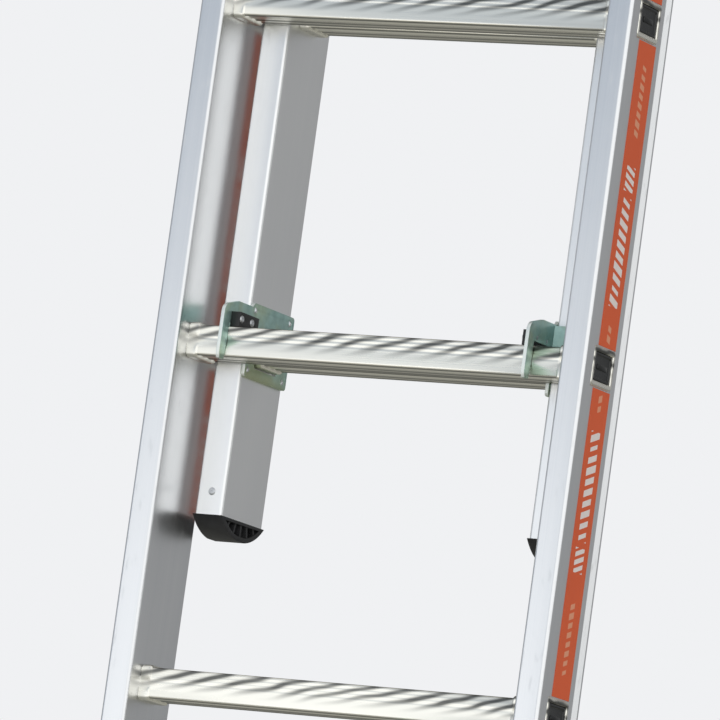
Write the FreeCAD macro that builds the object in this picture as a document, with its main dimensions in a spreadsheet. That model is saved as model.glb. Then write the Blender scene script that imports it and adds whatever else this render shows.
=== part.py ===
import FreeCAD, Part
import math
import os
import Sketcher

# Two-section attic ladder. X runs across the rungs, Y from the climber's side to the
# rear, Z up along the stiles. The origin is on the ground, under the middle of the
# whole ladder. The lower section is the wider one and stands in front; the upper
# section slides up and down behind its rungs and hangs on one of them by two hooks.
# All sizes are in millimetres.

RUNG_COUNT = 7
HOOKED_RUNG = 3
SIDES = {"left": -1, "right": 1}
SHOE_FIN_ANGLES = (-30, -15, 0, 15, 30)

DIMENSIONS = {
    # sections
    "lower_width": 390.0,
    "side_gap": 8.5,
    "lower_stile_width": 22.0,
    "upper_stile_width": 25.0,
    "lower_stile_depth": 72.0,
    "upper_stile_depth": 71.0,
    "stile_wall": 1.6,
    "stile_corner": 3.0,
    "recess_depth": 2.2,
    "front_lip": 14.0,
    "rear_lip": 4.5,
    "rear_flank": 5.5,
    "end_length": 139.0,
    "section_gap": 1.5,
    "upper_raise": 2.5,
    # rungs
    "rung_front": 17.0,
    "rung_pitch": 280.0,
    "rung_depth": 33.5,
    "rung_height": 25.0,
    "rung_wall": 1.8,
    "rung_corner": 2.0,
    "rung_fit": 0.1,
    "groove_width": 1.6,
    "groove_depth": 0.6,
    "groove_pitch": 4.0,
    "bead_length": 10.5,
    "bead_rise_y": 1.0,
    "bead_rise_z": 2.0,
    "rim_thickness": 2.0,
    "rim_rise_y": 1.8,
    "rim_rise_z": 3.5,
    # rung plugs
    "plug_edge_y": 1.75,
    "plug_edge_z": 1.1,
    "plug_plate": 1.1,
    "plug_length": 12.0,
    "plug_fit": 0.2,
    # label strips
    "label_margin": 7.9,
    "label_thickness": 0.3,
    "label_end_gap": 1.0,
    # shoes and top caps
    "shoe_drop": 16.0,
    "shoe_flat_cut": 0.5,
    "shoe_flange": 2.5,
    "shoe_proud": 1.0,
    "shoe_wall": 4.0,
    "shoe_web": 8.0,
    "shoe_fin": 2.4,
    "shoe_insert": 32.0,
    "cap_thickness": 4.0,
    "cap_insert": 18.0,
    "insert_fit": 0.3,
    # hooks
    "hook_plate": 3.0,
    "hook_front_gap": 0.5,
    "hook_lip_drop": 15.0,
    "hook_set_back": 6.5,
    "hook_lip_taper": 1.5,
    "hook_lip_nose": 10.0,
    "hook_band_low": 16.0,
    "hook_front_top": 29.0,
    "hook_band_top": 35.0,
    "hook_rear_top": 38.5,
    "hook_rear_low": 22.0,
    "hook_window_gap": 1.5,
    "hook_corner": 3.0,
    "hook_nose_corner": 8.0,
    "hook_tab_width": 22.0,
    "hook_tab_margin": 1.0,
    "hook_band_length": 23.5,
    "hook_rivet_margin": 6.0,
    "seat_thickness": 8.5,
    "seat_height": 12.4,
    "seat_inset": 1.0,
    "seat_gap": 0.1,
    "seat_rivet_front": 4.4,
    "seat_rivet_rear": 12.0,
    # guide brackets
    "guide_plate": 2.5,
    "guide_height": 60.0,
    "guide_below_top": 30.0,
    "guide_front": 18.0,
    "guide_play": 1.0,
    "guide_lip": 17.0,
    "guide_jog_margin": 6.0,
    "guide_jog_length": 8.0,
    # rivets
    "rivet_radius": 1.6,
    "rivet_head_radius": 3.2,
    "rivet_head_height": 1.0,
    "rivet_grip": 8.0,
    "rivet_fit": 0.1,
    "shoe_rivet_height": 19.0,
}


class Size:
    """A length that knows both its value and the sheet expression it comes from."""

    def __init__(self, text, value):
        self.text = text
        self.value = value

    def joined(self, sign, other, value):
        return Size(f"({self.text} {sign} {size(other).text})", value)

    def __add__(self, other):
        return self.joined("+", other, self.value + size(other).value)

    def __sub__(self, other):
        return self.joined("-", other, self.value - size(other).value)

    def __mul__(self, other):
        return self.joined("*", other, self.value * size(other).value)

    def __truediv__(self, other):
        return self.joined("/", other, self.value / size(other).value)

    def __radd__(self, other):
        return size(other) + self

    def __rsub__(self, other):
        return size(other) - self

    def __rmul__(self, other):
        return size(other) * self

    def __neg__(self):
        return size(0) - self

    def root(self):
        return Size(f"sqrt({self.text})", math.sqrt(self.value))


def size(value):
    return value if isinstance(value, Size) else Size(repr(float(value)), float(value))


doc = FreeCAD.newDocument("attic_ladder")
sheet = doc.addObject("Spreadsheet::Sheet", "Dims")
parts = []


class Dims:
    """Every driving dimension as a Size bound to its own cell."""


for row, (alias, number) in enumerate(DIMENSIONS.items(), start=1):
    sheet.set(f"A{row}", alias)
    sheet.set(f"B{row}", str(number))
    sheet.setAlias(f"B{row}", alias)
    setattr(Dims, alias, Size(f"Dims.{alias}", number))
doc.recompute()
D = Dims


# --- building helpers -----------------------------------------------------------


def bind(thing, prop, value):
    """Ties a property to the sheet; quantities need their unit back after a root."""
    thing.setExpression(prop, size(value).text)


def new_body(label):
    body = doc.addObject("PartDesign::Body", label)
    body.Label = label
    parts.append(body)
    return body


def draw_loop(sketch, points):
    """Closed straight outline whose every corner is tied to the sheet."""
    first = sketch.GeometryCount
    count = len(points)
    spots = [FreeCAD.Vector(size(u).value, size(v).value, 0) for u, v in points]
    lines = [Part.LineSegment(spots[i], spots[(i + 1) % count]) for i in range(count)]
    sketch.addGeometry(lines, False)
    rules = []
    for i in range(count):
        after = first + (i + 1) % count
        rules.append(Sketcher.Constraint("Coincident", first + i, 2, after, 1))
    places = []
    for i, (u, v) in enumerate(points):
        for kind, value in (("DistanceX", u), ("DistanceY", v)):
            places.append(value)
            rules.append(Sketcher.Constraint(kind, -1, 1, first + i, 1, size(value).value))
    indexes = sketch.addConstraint(rules)[count:]
    for index, value in zip(indexes, places):
        bind(sketch, f"Constraints[{index}]", value)


def draw_circle(sketch, u, v, radius):
    centre = FreeCAD.Vector(size(u).value, size(v).value, 0)
    up = FreeCAD.Vector(0, 0, 1)
    at = sketch.addGeometry(Part.Circle(centre, up, size(radius).value), False)
    for kind, value in (("DistanceX", u), ("DistanceY", v)):
        rule = Sketcher.Constraint(kind, -1, 1, at, 3, size(value).value)
        bind(sketch, f"Constraints[{sketch.addConstraint(rule)}]", value)
    rule = Sketcher.Constraint("Radius", at, size(radius).value)
    bind(sketch, f"Constraints[{sketch.addConstraint(rule)}]", radius)


def new_sketch(body, plane, start, loops, circles):
    sketch = body.newObject("Sketcher::SketchObject", body.Label + "_sketch")
    origin = [f for f in body.Origin.OriginFeatures if f.Role == plane][0]
    sketch.AttachmentSupport = (origin, [""])
    sketch.MapMode = "FlatFace"
    bind(sketch, "AttachmentOffset.Base.z", start)
    for points in loops:
        draw_loop(sketch, points)
    for u, v, radius in circles:
        draw_circle(sketch, u, v, radius)
    return sketch


def pad(body, plane, start, length, loops, circles=()):
    """Adds material along the plane's normal, from start over length."""
    feature = body.newObject("PartDesign::Pad", body.Label + "_pad")
    feature.Profile = new_sketch(body, plane, start, loops, circles)
    bind(feature, "Length", length)
    body.Tip = feature
    return feature


def pocket(body, plane, start, length, loops=(), circles=()):
    """Takes material away along the plane's normal, from start over length."""
    doc.recompute()
    before = body.Shape.Volume
    feature = body.newObject("PartDesign::Pocket", body.Label + "_pocket")
    feature.Profile = new_sketch(body, plane, start, loops, circles)
    feature.Reversed = True
    bind(feature, "Length", length)
    body.Tip = feature
    doc.recompute()
    if not body.Shape.Volume < before:
        raise RuntimeError(f"{body.Label}: a pocket cut nothing")
    return feature


def repeat_up(body, feature, pitch, count):
    pattern = body.newObject("PartDesign::LinearPattern", body.Label + "_pattern")
    pattern.Originals = [feature]
    axis = [f for f in body.Origin.OriginFeatures if f.Role == "Z_Axis"][0]
    pattern.Direction = (axis, [""])
    pattern.Mode = "Spacing"
    bind(pattern, "Offset", pitch)
    pattern.Occurrences = count
    body.Tip = pattern
    return pattern


def round_edges(body, chosen, radius):
    """Fillets the edges of the body so far that the chosen test accepts."""
    doc.recompute()
    base = body.Tip
    names = [f"Edge{i}" for i, e in enumerate(base.Shape.Edges, start=1) if chosen(e)]
    if not names:
        raise RuntimeError(f"{body.Label}: no edge to round")
    fillet = body.newObject("PartDesign::Fillet", body.Label + "_fillet")
    fillet.Base = (base, names)
    bind(fillet, "Radius", radius)
    body.Tip = fillet
    return fillet


def along(axis, *spots):
    """Edge test: parallel to an axis and passing through one of the spots."""
    index = "xyz".index(axis)

    def chosen(edge):
        if len(edge.Vertexes) != 2:
            return False
        a, b = (v.Point for v in edge.Vertexes)
        flat_a = [c for i, c in enumerate(a) if i != index]
        flat_b = [c for i, c in enumerate(b) if i != index]
        if math.dist(flat_a, flat_b) > 1e-3:
            return False
        return any(
            math.dist(flat_a, [size(u).value, size(v).value]) < 1e-3 for u, v in spots
        )

    return chosen


def rectangle(u0, u1, v0, v1):
    return [(u0, v0), (u1, v0), (u1, v1), (u0, v1)]


def outwards(side, near, length):
    """Start on the X axis of a piece that runs outwards from near over length."""
    return size(near) if side > 0 else -(near + length)


def box(label, x0, x1, y0, y1, z0, z1):
    solid = doc.addObject("Part::Box", label)
    bind(solid, "Length", x1 - x0)
    bind(solid, "Width", y1 - y0)
    bind(solid, "Height", z1 - z0)
    for letter, value in (("x", x0), ("y", y0), ("z", z0)):
        bind(solid, f"Placement.Base.{letter}", value)
    return solid


def side_box(label, side, near, far, y0, y1, z0, z1):
    """Box whose near and far faces are distances out from the middle plane."""
    x0, x1 = (size(near), size(far)) if side > 0 else (-size(far), -size(near))
    return box(label, x0, x1, y0, y1, z0, z1)


AXIS_TURNS = {
    "x": FreeCAD.Rotation(FreeCAD.Vector(0, 1, 0), 90),
    "y": FreeCAD.Rotation(FreeCAD.Vector(1, 0, 0), -90),
}


def cylinder(label, axis, radius, length, x, y, z):
    solid = doc.addObject("Part::Cylinder", label)
    bind(solid, "Radius", radius)
    bind(solid, "Height", length)
    solid.Placement = FreeCAD.Placement(FreeCAD.Vector(), AXIS_TURNS[axis])
    for letter, value in (("x", x), ("y", y), ("z", z)):
        bind(solid, f"Placement.Base.{letter}", value)
    return solid


def combine(kind, label, pieces):
    """Part boolean of two or more shapes: Fuse, Cut or Common."""
    if kind == "Cut":
        result = doc.addObject("Part::Cut", label)
        result.Base, result.Tool = pieces
    else:
        result = doc.addObject(f"Part::Multi{kind}", label)
        result.Shapes = pieces
    return result


def group(label, pieces):
    """One node that holds identical pieces as separate solids."""
    result = doc.addObject("Part::Compound", label)
    result.Label = label
    result.Links = pieces
    parts.append(result)
    return result


def keep(solid, label):
    solid.Label = label
    parts.append(solid)
    return solid


# --- the two sections -----------------------------------------------------------


class Section:
    """Where one section's stiles and rungs are, all worked out from the sheet."""

    def __init__(self, name, width, stile_width, depth, front, bottom):
        self.name = name
        self.outer = width / 2
        self.inner = width / 2 - stile_width
        self.floor = self.outer - D.recess_depth
        self.front = size(front)
        self.rear = front + depth
        self.bottom = size(bottom)
        self.length = 2 * D.end_length + (RUNG_COUNT - 1) * D.rung_pitch
        self.top = self.bottom + self.length
        self.rung_y = front + D.rung_front

    def rung_z(self, number):
        return self.bottom + D.end_length + (number - 1) * D.rung_pitch


lower = Section(
    "lower", D.lower_width, D.lower_stile_width, D.lower_stile_depth, size(0), D.shoe_drop
)
upper_front = lower.rung_y + D.rung_depth + D.section_gap
upper_width = D.lower_width - 2 * D.lower_stile_width - 2 * D.side_gap
upper_bottom = lower.rung_z(HOOKED_RUNG) + D.upper_raise - D.end_length
upper = Section(
    "upper", upper_width, D.upper_stile_width, D.upper_stile_depth, upper_front, upper_bottom
)

guide_back = upper.rear + D.guide_play + D.guide_plate
guide_jog_start = lower.rear - D.guide_jog_margin
depth_middle = (guide_back - D.rivet_head_height) / 2


def hook_rivet_spots():
    """Y and Z of the four rivets that hold a hook plate to its stile."""
    margin = D.hook_rivet_margin
    low = lower.rung_z(HOOKED_RUNG) - D.hook_rear_low + margin
    high = lower.rung_z(HOOKED_RUNG) + D.hook_rear_top - margin
    return [(y, z) for y in (upper.front + margin, upper.rear - margin) for z in (low, high)]


def guide_rivet_spots():
    """Y and Z of the four rivets that hold a guide bracket to its stile."""
    top = lower.top - D.guide_below_top
    inset = D.rivet_head_radius * 2
    rows = (top - D.guide_height + inset, top - inset)
    middle = (D.guide_front + guide_jog_start) / 2
    return [(middle + shift, z) for shift in (-inset, inset) for z in rows]


def build_stile(section, side):
    body = new_body(f"{section.name}_{'left' if side < 0 else 'right'}_stile")
    wall = D.stile_wall
    recess = D.recess_depth
    front_edge = section.front + D.front_lip
    rear_edge = section.rear - D.rear_lip
    outline = [
        (side * section.inner, section.front),
        (side * section.outer, section.front),
        (side * section.outer, front_edge),
        (side * section.floor, front_edge + recess),
        (side * section.floor, rear_edge - D.rear_flank),
        (side * section.outer, rear_edge),
        (side * section.outer, section.rear),
        (side * section.inner, section.rear),
    ]
    hollow = [
        (side * (section.inner + wall), section.front + wall),
        (side * (section.outer - wall), section.front + wall),
        (side * (section.outer - wall), front_edge - wall),
        (side * (section.floor - wall), front_edge + recess - wall),
        (side * (section.floor - wall), rear_edge - D.rear_flank + wall),
        (side * (section.outer - wall), rear_edge + wall),
        (side * (section.outer - wall), section.rear - wall),
        (side * (section.inner + wall), section.rear - wall),
    ]
    pad(body, "XY_Plane", section.bottom, section.length, [outline, hollow])
    corners = [outline[0], outline[1], outline[6], outline[7]]
    round_edges(body, along("z", *corners), D.stile_corner)
    width = section.outer - section.inner
    opening = rung_opening(section, D.rung_fit)
    slot = pocket(body, "YZ_Plane", outwards(side, section.inner, width), width, [opening])
    repeat_up(body, slot, D.rung_pitch, RUNG_COUNT)
    seat = rim_outline(section, section.rung_z(1))
    start = outwards(side, section.floor, recess)
    notch = pocket(body, "YZ_Plane", start, recess, [seat])
    repeat_up(body, notch, D.rung_pitch, RUNG_COUNT)
    hole = D.rivet_radius + D.rivet_fit
    shoe_hole = [(side * insert_middle(section), section.bottom + D.shoe_rivet_height, hole)]
    pocket(body, "XZ_Plane", -(section.front + wall * 2), wall * 2, circles=shoe_hole)
    spots = hook_rivet_spots() if section is upper else guide_rivet_spots()
    start = outwards(side, section.inner, wall)
    pocket(body, "YZ_Plane", start, wall, circles=[(y, z, hole) for y, z in spots])
    return body


def rung_opening(section, fit):
    """Outline of the first rung's passage through a stile, grown by a fit."""
    z = section.rung_z(1)
    return rectangle(
        section.rung_y - fit,
        section.rung_y + D.rung_depth + fit,
        z - D.rung_height / 2 - fit,
        z + D.rung_height / 2 + fit,
    )


def rim_outline(section, z):
    """Outline of the rim that a rung end is swaged to in the stile's recess."""
    return rectangle(
        section.rung_y - D.rim_rise_y,
        section.rung_y + D.rung_depth + D.rim_rise_y,
        z - D.rung_height / 2 - D.rim_rise_z,
        z + D.rung_height / 2 + D.rim_rise_z,
    )


def insert_middle(section):
    """Distance from the middle plane to the middle of a stile's hollow."""
    return (section.inner + section.floor) / 2


def grooved_outline(low_y, z):
    """Rung outline with grip grooves along its top and bottom faces."""
    high_y = low_y + D.rung_depth
    top = z + D.rung_height / 2
    bottom = z - D.rung_height / 2
    middle = low_y + D.rung_depth / 2
    half = D.groove_width / 2
    room = D.rung_depth.value / 2 - D.rung_corner.value - D.groove_width.value
    reach = int(room // D.groove_pitch.value)
    centres = [middle + k * D.groove_pitch for k in range(-reach, reach + 1)]
    points = [(low_y, bottom)]
    for y in centres:
        points += [(y - half, bottom), (y - half, bottom + D.groove_depth)]
        points += [(y + half, bottom + D.groove_depth), (y + half, bottom)]
    points += [(high_y, bottom), (high_y, top)]
    for y in reversed(centres):
        points += [(y + half, top), (y + half, top - D.groove_depth)]
        points += [(y - half, top - D.groove_depth), (y - half, top)]
    points.append((low_y, top))
    return points


def rung_hollow(section, z):
    wall = D.rung_wall
    return rectangle(
        section.rung_y + wall,
        section.rung_y + D.rung_depth - wall,
        z - D.rung_height / 2 + wall,
        z + D.rung_height / 2 - wall,
    )


def build_rung(section, number):
    """Hollow rung, swaged to a bead inside each stile and to a rim outside it."""
    body = new_body(f"{section.name}_rung_{number}")
    z = section.rung_z(number)
    low_y = section.rung_y
    high_y = low_y + D.rung_depth
    bottom = z - D.rung_height / 2
    top = z + D.rung_height / 2
    hollow = rung_hollow(section, z)
    tube = grooved_outline(low_y, z)
    pad(body, "YZ_Plane", -section.floor, 2 * section.floor, [tube, hollow])
    bead = rectangle(
        low_y - D.bead_rise_y, high_y + D.bead_rise_y, bottom - D.bead_rise_z, top + D.bead_rise_z
    )
    rim = rim_outline(section, z)
    mouth = rectangle(
        low_y + D.plug_edge_y - D.plug_fit,
        high_y - D.plug_edge_y + D.plug_fit,
        bottom + D.plug_edge_z - D.plug_fit,
        top - D.plug_edge_z + D.plug_fit,
    )
    for side in SIDES.values():
        start = outwards(side, section.inner - D.bead_length, D.bead_length)
        pad(body, "YZ_Plane", start, D.bead_length, [bead, hollow])
        start = outwards(side, section.floor, D.rim_thickness)
        pad(body, "YZ_Plane", start, D.rim_thickness, [rim, mouth])
    corners = [(y, v) for y in (low_y, high_y) for v in (bottom, top)]
    round_edges(body, along("x", *corners, *bead, *rim), D.rung_corner)
    return body


def build_plugs(section, side, name):
    """Plastic plugs that close the rung ends of one stile."""
    low_y = section.rung_y
    high_y = low_y + D.rung_depth
    fit = D.plug_fit
    wall = D.rung_wall
    plugs = []
    for number in range(1, RUNG_COUNT + 1):
        bottom = section.rung_z(number) - D.rung_height / 2
        top = section.rung_z(number) + D.rung_height / 2
        plate = side_box(
            "plug_plate", side, section.floor, section.floor + D.plug_plate,
            low_y + D.plug_edge_y, high_y - D.plug_edge_y,
            bottom + D.plug_edge_z, top - D.plug_edge_z,
        )
        stem = side_box(
            "plug_stem", side, section.floor - D.plug_length, section.floor,
            low_y + wall + fit, high_y - wall - fit,
            bottom + wall + fit, top - wall - fit,
        )
        plugs.append(combine("Fuse", "plug", [plate, stem]))
    group(f"{section.name}_{name}_rung_plugs", plugs)


def build_labels(section, side, name):
    """Strips in the recess of a stile, from rung end to rung end."""
    low_y = section.front + D.front_lip + D.recess_depth + D.label_margin
    high_y = section.rear - D.rear_lip - D.rear_flank - D.label_margin
    clear = D.rung_height / 2 + D.rim_rise_z + D.label_end_gap
    ends = [section.bottom + D.label_end_gap]
    for number in range(1, RUNG_COUNT + 1):
        ends += [section.rung_z(number) - clear, section.rung_z(number) + clear]
    ends.append(section.top - D.label_end_gap)
    strips = [
        side_box(
            "strip", side, section.floor, section.floor + D.label_thickness,
            low_y, high_y, low, high,
        )
        for low, high in zip(ends[::2], ends[1::2])
    ]
    group(f"{section.name}_{name}_label", strips)


def insert_box(label, section, side, z0, z1):
    """Block that fills the hollow of a stile with a sliding fit."""
    gap = D.stile_wall + D.insert_fit
    return side_box(
        label, side, section.inner + gap, section.floor - gap,
        section.front + gap, section.rear - gap, z0, z1,
    )


def build_shoe(section, side, name):
    """Half-moon shoe: flange, insert, and a curved sole hollowed between radial fins."""
    proud = D.shoe_proud
    near = section.inner - proud
    far = section.outer + proud
    width = far - near
    front = section.front - proud
    rear = section.rear + proud
    end = section.bottom
    sole = end - D.shoe_drop
    middle = (section.front + section.rear) / 2
    half_chord = (section.rear - section.front) / 2 + proud
    rise = D.shoe_drop + D.shoe_flat_cut
    radius = (half_chord * half_chord + rise * rise) / (2 * rise)
    hub = sole - D.shoe_flat_cut + radius
    start = outwards(side, near, width)
    disc = cylinder("disc", "x", radius, width, start, middle, hub)
    slab = side_box("slab", side, near, far, front, rear, sole, end)
    moon = combine("Common", "moon", [disc, slab])
    bowl_start = outwards(side, near - D.shoe_wall, width)
    inner_radius = radius - D.shoe_wall
    bowl_disc = cylinder("bowl_disc", "x", inner_radius, width, bowl_start, middle, hub)
    bowl_slab = side_box(
        "bowl_slab", side, near - D.shoe_wall, far - D.shoe_web,
        front, rear, sole + D.shoe_wall, end - D.shoe_flange,
    )
    bowl = combine("Common", "bowl", [bowl_disc, bowl_slab])
    pieces = [combine("Cut", "shell", [moon, bowl])]
    pieces.append(insert_box("insert", section, side, end, end + D.shoe_insert))
    half_fin = D.shoe_fin / 2
    for angle in SHOE_FIN_ANGLES:
        cos, sin = math.cos(math.radians(angle)), math.sin(math.radians(angle))
        ray = doc.addObject("Part::Box", "ray")
        bind(ray, "Length", width - proud)
        bind(ray, "Width", D.shoe_fin)
        bind(ray, "Height", radius)
        turn = FreeCAD.Rotation(FreeCAD.Vector(1, 0, 0), angle)
        ray.Placement = FreeCAD.Placement(FreeCAD.Vector(), turn)
        bind(ray, "Placement.Base.x", outwards(side, near + proud, width - proud))
        bind(ray, "Placement.Base.y", middle - half_fin * cos + radius * sin)
        bind(ray, "Placement.Base.z", hub - half_fin * sin - radius * cos)
        pieces.append(combine("Common", "fin", [ray, slab, disc]))
    whole = combine("Fuse", "whole_shoe", pieces)
    z = end + D.shoe_rivet_height
    hole = cylinder(
        "hole", "y", D.rivet_radius + D.rivet_fit, D.rivet_grip + D.rivet_fit,
        side * insert_middle(section), section.front, z,
    )
    keep(combine("Cut", "shoe", [whole, hole]), f"{section.name}_{name}_foot")


def build_cap(section, side, name):
    proud = D.shoe_proud
    plate = side_box(
        "plate", side, section.inner - proud, section.outer + proud,
        section.front - proud, section.rear + proud,
        section.top, section.top + D.cap_thickness,
    )
    insert = insert_box("cap_insert_block", section, side, section.top - D.cap_insert, section.top)
    keep(combine("Fuse", "cap", [plate, insert]), f"{section.name}_{name}_top_cap")


def rivet(axis, direction, x, y, z, length):
    """Rivet whose head sits at x, y, z and whose shank runs back from it."""
    radius = D.rivet_radius
    head_height = D.rivet_head_height
    at = {"x": x, "y": y, "z": z}
    head_start = dict(at)
    shank_start = dict(at)
    if direction < 0:
        head_start[axis] = at[axis] - head_height
    else:
        shank_start[axis] = at[axis] - length
    head = cylinder("head", axis, D.rivet_head_radius, head_height, **head_start)
    shank = cylinder("shank", axis, radius, length, **shank_start)
    return combine("Fuse", "rivet", [head, shank])


def build_shoe_rivets(section):
    rivets = [
        rivet(
            "y", -1, side * insert_middle(section), section.front,
            section.bottom + D.shoe_rivet_height, D.rivet_grip,
        )
        for side in SIDES.values()
    ]
    group(f"{section.name}_foot_rivets", rivets)


# --- hooks and guides -----------------------------------------------------------


def seat_rivet_spots():
    """Y and Z of the two rivets that hold a seat block to its hook plate."""
    z = lower.rung_z(HOOKED_RUNG) + D.hook_band_low + D.rivet_head_radius
    front = lower.rung_y + D.seat_rivet_front
    rear = lower.rung_y + D.rung_depth - D.seat_rivet_rear
    return [(front, z), (rear, z)]


def build_hook(side, name):
    """Folded steel hook: a plate on the stile's inner face that reaches over the rung."""
    body = new_body(f"{name}_hook")
    rung = lower.rung_z(HOOKED_RUNG)
    lip_front = lower.front + D.hook_set_back
    lip_rear = lower.rung_y - D.hook_front_gap
    tip = rung - D.hook_lip_drop
    band_start = upper.front - D.hook_band_length
    outline = [
        (lip_front, rung - D.hook_lip_nose),
        (lip_front, rung + D.hook_front_top),
        (band_start, rung + D.hook_band_top),
        (upper.front, rung + D.hook_band_top),
        (upper.front + D.hook_corner, rung + D.hook_rear_top),
        (upper.rear, rung + D.hook_rear_top),
        (upper.rear, rung - D.hook_rear_low),
        (upper.front, rung - D.hook_rear_low),
        (upper.front, rung + D.hook_band_low),
        (lip_rear, rung + D.hook_band_low),
        (lip_rear, rung),
        (lip_rear - D.hook_lip_taper, tip),
        (lip_front + D.hook_lip_taper, tip),
    ]
    gap = D.hook_window_gap
    z = upper.rung_z(1)
    window = rectangle(
        upper.rung_y - D.bead_rise_y - gap,
        upper.rung_y + D.rung_depth + D.bead_rise_y + gap,
        z - D.rung_height / 2 - D.bead_rise_z - gap,
        z + D.rung_height / 2 + D.bead_rise_z + gap,
    )
    near = upper.inner - D.hook_plate
    start = outwards(side, near, D.hook_plate)
    pad(body, "YZ_Plane", start, D.hook_plate, [outline, window])
    round_edges(body, along("x", outline[1]), D.hook_nose_corner)
    round_edges(body, along("x", outline[5], outline[6], outline[7]), D.hook_corner)
    round_edges(body, along("x", *window), D.hook_corner)
    tab = rectangle(
        upper.front - D.hook_plate,
        upper.front,
        rung + D.hook_band_low + D.hook_tab_margin,
        rung + D.hook_band_top - D.hook_tab_margin,
    )
    start = outwards(side, upper.inner, D.hook_tab_width)
    pad(body, "YZ_Plane", start, D.hook_tab_width, [tab])
    hole = D.rivet_radius + D.rivet_fit
    spots = hook_rivet_spots() + seat_rivet_spots()
    start = outwards(side, near, D.hook_plate)
    pocket(body, "YZ_Plane", start, D.hook_plate, circles=[(y, v, hole) for y, v in spots])
    return body


def build_seat_block(side, name):
    """Nylon block that takes the load between a hook and the rung under it."""
    top_of_rung = lower.rung_z(HOOKED_RUNG) + D.rung_height / 2
    far = upper.inner - D.hook_plate
    block = side_box(
        "seat", side, far - D.seat_thickness, far,
        lower.rung_y + D.seat_inset, lower.rung_y + D.rung_depth - D.seat_inset,
        top_of_rung + D.seat_gap, top_of_rung + D.seat_height,
    )
    holes = []
    for y, z in seat_rivet_spots():
        length = D.seat_thickness
        start = outwards(side, far - length, length)
        holes.append(cylinder("hole", "x", D.rivet_radius + D.rivet_fit, length, start, y, z))
    drilled = combine("Cut", "drilled", [block, combine("Fuse", "holes", holes)])
    keep(drilled, f"{name}_hook_seat_block")


def build_hook_rivets():
    """Rivets through the hook plates into the stiles, and through the seat blocks."""
    plate_rivets = []
    seat_rivets = []
    for side in SIDES.values():
        face = upper.inner - D.hook_plate
        for y, z in hook_rivet_spots():
            grip = D.hook_plate + D.stile_wall
            plate_rivets.append(rivet("x", -side, side * face, y, z, grip))
        for y, z in seat_rivet_spots():
            grip = D.hook_plate + D.seat_thickness
            at = side * (face - D.seat_thickness)
            seat_rivets.append(rivet("x", -side, at, y, z, grip))
    group("hook_rivets", plate_rivets)
    group("seat_block_rivets", seat_rivets)


def build_guide(side, name):
    """Folded bracket on the lower stile that runs round the back of the upper one."""
    body = new_body(f"{name}_guide_bracket")
    plate = D.guide_plate
    fixed = lower.inner
    sliding = upper.outer + D.guide_play
    jog_end = guide_jog_start + D.guide_jog_length
    back = upper.rear + D.guide_play
    outline = [
        (side * fixed, D.guide_front),
        (side * fixed, guide_jog_start + plate / 2),
        (side * (sliding + plate), jog_end + plate / 2),
        (side * (sliding + plate), back + plate),
        (side * (sliding - D.guide_lip), back + plate),
        (side * (sliding - D.guide_lip), back),
        (side * sliding, back),
        (side * sliding, jog_end),
        (side * (fixed - plate), guide_jog_start),
        (side * (fixed - plate), D.guide_front),
    ]
    low = lower.top - D.guide_below_top - D.guide_height
    pad(body, "XY_Plane", low, D.guide_height, [outline])
    round_edges(body, along("z", outline[3]), plate)
    hole = D.rivet_radius + D.rivet_fit
    start = outwards(side, fixed - plate, plate)
    circles = [(y, z, hole) for y, z in guide_rivet_spots()]
    pocket(body, "YZ_Plane", start, plate, circles=circles)
    return body


def build_guide_rivets():
    grip = D.guide_plate + D.stile_wall
    rivets = [
        rivet("x", -side, side * (lower.inner - D.guide_plate), y, z, grip)
        for side in SIDES.values()
        for y, z in guide_rivet_spots()
    ]
    group("guide_rivets", rivets)


# --- assembly -------------------------------------------------------------------

for section in (lower, upper):
    for name, side in SIDES.items():
        build_stile(section, side)
        build_plugs(section, side, name)
        build_labels(section, side, name)
        build_shoe(section, side, name)
        build_cap(section, side, name)
    for number in range(1, RUNG_COUNT + 1):
        build_rung(section, number)
    build_shoe_rivets(section)
for name, side in SIDES.items():
    build_hook(side, name)
    build_seat_block(side, name)
    build_guide(side, name)
build_hook_rivets()
build_guide_rivets()

for part in parts:
    bind(part, "Placement.Base.y", -depth_middle)
doc.recompute()

for thing in doc.Objects:
    if "Invalid" in thing.State or "Error" in thing.State:
        raise RuntimeError(f"{thing.Label} did not build: {thing.State}")

os.makedirs("parts", exist_ok=True)
for part in parts:
    if part.Shape.isNull() or not part.Shape.isValid():
        raise RuntimeError(f"{part.Label} has no valid shape")
    part.Shape.exportStep(f"parts/{part.Label}.step")
    print(f"{part.Label}: {len(part.Shape.Solids)} solids, {part.Shape.Volume:.0f} mm3")
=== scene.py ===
"""Attic ladder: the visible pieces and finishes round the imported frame.

X runs across the rungs, Y to the rear and Z up the stiles, in metres. The lower section
is the wide one in front, and the upper section slides behind it.
"""

import math

import bmesh
import bpy
from mathutils import Matrix, Vector


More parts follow.
